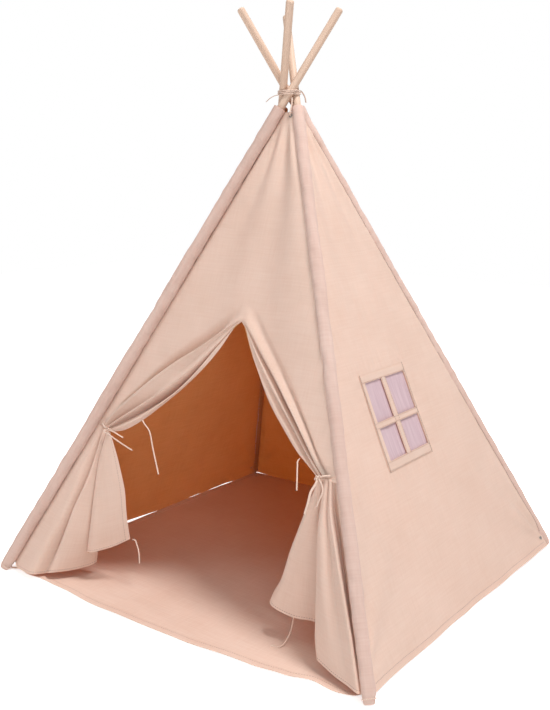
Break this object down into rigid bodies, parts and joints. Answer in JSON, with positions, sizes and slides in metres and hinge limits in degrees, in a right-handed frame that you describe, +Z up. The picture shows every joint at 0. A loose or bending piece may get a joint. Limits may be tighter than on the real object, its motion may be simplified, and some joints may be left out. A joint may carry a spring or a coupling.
{
  "type": "play tent",
  "caption": "Kids' teepee of crossed wooden poles with a cloth cover, a tied-back door, a barred sheer window and a floor sheet.",
  "frame": {"origin": "on the floor, in the middle of the box round the stand", "axes": "+Z up along the tent's height, the door faces -Y, the window wall faces +X"},
  "size_m": [1.2776, 1.2152, 1.6232],
  "materials": {
    "pine": "sanded, unvarnished pine",
    "ferrule_metal": "plain",
    "eyelet_metal": "dull nickel",
    "canvas": "peach cotton canvas",
    "canvas_sleeve": "peach cotton canvas, seam tunnel",
    "sheer_mesh": "fine sheer mesh",
    "floor_cloth": "peach cotton canvas, doubled",
    "cotton_cord": "cotton tape and cord"
  },
  "bodies": {
    "ground_sheet": {"floor_sheet": "floor_cloth"},
    "crossing": {"lashing_cord": "cotton_cord", "lashing_tail_left": "cotton_cord", "lashing_tail_right": "cotton_cord", "eyelet_top": "eyelet_metal", "cover_cord": "cotton_cord"},
    "stand_front_left": {"pole_lower_front_left": "pine", "pole_upper_front_left": "pine", "pole_ferrule_front_left": "ferrule_metal", "sleeve_front_left": "canvas_sleeve", "corner_tie_front_left": "cotton_cord", "eyelet_foot_front_left": "eyelet_metal", "front_panel": "canvas", "door_swag_left": "canvas", "tie_band_left": "cotton_cord", "tie_knot_left": "cotton_cord", "tie_tail_left_long": "cotton_cord", "tie_tail_left_short": "cotton_cord", "closing_ribbon_left": "cotton_cord"},
    "stand_front_right": {"pole_lower_front_right": "pine", "pole_upper_front_right": "pine", "pole_ferrule_front_right": "ferrule_metal", "sleeve_front_right": "canvas_sleeve", "corner_tie_front_right": "cotton_cord", "eyelet_foot_front_right": "eyelet_metal", "wall_right": "canvas", "window_frame": "canvas", "window_sheer": "sheer_mesh", "door_swag_right": "canvas", "tie_band_right": "cotton_cord", "tie_knot_right": "cotton_cord", "tie_tail_right_long": "cotton_cord", "tie_tail_right_short": "cotton_cord", "closing_ribbon_right": "cotton_cord"},
    "stand_back_right": {"pole_lower_back_right": "pine", "pole_upper_back_right": "pine", "pole_ferrule_back_right": "ferrule_metal", "sleeve_back_right": "canvas_sleeve", "corner_tie_back_right": "cotton_cord", "eyelet_foot_back_right": "eyelet_metal", "wall_back": "canvas"},
    "stand_back_left": {"pole_lower_back_left": "pine", "pole_upper_back_left": "pine", "pole_ferrule_back_left": "ferrule_metal", "sleeve_back_left": "canvas_sleeve", "corner_tie_back_left": "cotton_cord", "eyelet_foot_back_left": "eyelet_metal", "wall_left": "canvas"},
    "door_flap_left": {"door_skirt_left": "canvas", "hem_ribbon_left": "cotton_cord"},
    "door_flap_right": {"door_skirt_right": "canvas", "hem_ribbon_right": "cotton_cord"}
  },
  "joints": [
    {"name": "crossing_lift", "type": "slide", "parent": "ground_sheet", "child": "crossing", "axis": [0, 0, 1], "range_m": [0, 0.52], "deforming": ["front_panel", "wall_left", "wall_back", "wall_right", "window_frame", "window_sheer", "sleeve_front_left", "sleeve_front_right", "sleeve_back_right", "sleeve_back_left", "door_swag_left", "door_swag_right", "door_skirt_left", "door_skirt_right", "tie_tail_left_long", "tie_tail_left_short", "tie_tail_right_long", "tie_tail_right_short", "closing_ribbon_left", "closing_ribbon_right", "hem_ribbon_left", "hem_ribbon_right", "cover_cord", "lashing_cord", "lashing_tail_left", "lashing_tail_right", "corner_tie_front_left", "corner_tie_front_right", "corner_tie_back_right", "corner_tie_back_left"]},
    {"name": "front_left_fold", "type": "hinge", "parent": "crossing", "child": "stand_front_left", "pos_m": [-0.00893, -0.01778, 1.394], "axis": [0.6828, -0.7306, 0], "range_deg": [0, 27.5]},
    {"name": "front_right_fold", "type": "hinge", "parent": "crossing", "child": "stand_front_right", "pos_m": [-0.00936, 0.00912, 1.394], "axis": [0.659, 0.7522, 0], "range_deg": [0, 27.5]},
    {"name": "back_right_fold", "type": "hinge", "parent": "crossing", "child": "stand_back_right", "pos_m": [-0.0339, 0.00854, 1.394], "axis": [-0.6937, 0.7203, 0], "range_deg": [0, 27.5]},
    {"name": "back_left_fold", "type": "hinge", "parent": "crossing", "child": "stand_back_left", "pos_m": [-0.03431, -0.01718, 1.394], "axis": [-0.7164, -0.6977, 0], "range_deg": [0, 27.5]},
    {"name": "left_flap_swing", "type": "hinge", "parent": "stand_front_left", "child": "door_flap_left", "pos_m": [-0.41755, -0.39695, 0.44884], "axis": [-0.3799, -0.355, -0.8542], "range_deg": [0, 60]},
    {"name": "right_flap_swing", "type": "hinge", "parent": "stand_front_right", "child": "door_flap_right", "pos_m": [0.41678, -0.38432, 0.44694], "axis": [-0.3911, 0.3426, 0.8542], "range_deg": [0, 60]}
  ],
  "couplings": [
    {"joint": "front_left_fold", "follows": "crossing_lift", "rad_per_m": 0.9154},
    {"joint": "front_right_fold", "follows": "crossing_lift", "rad_per_m": 0.9154},
    {"joint": "back_right_fold", "follows": "crossing_lift", "rad_per_m": 0.9154},
    {"joint": "back_left_fold", "follows": "crossing_lift", "rad_per_m": 0.9154}
  ]
}
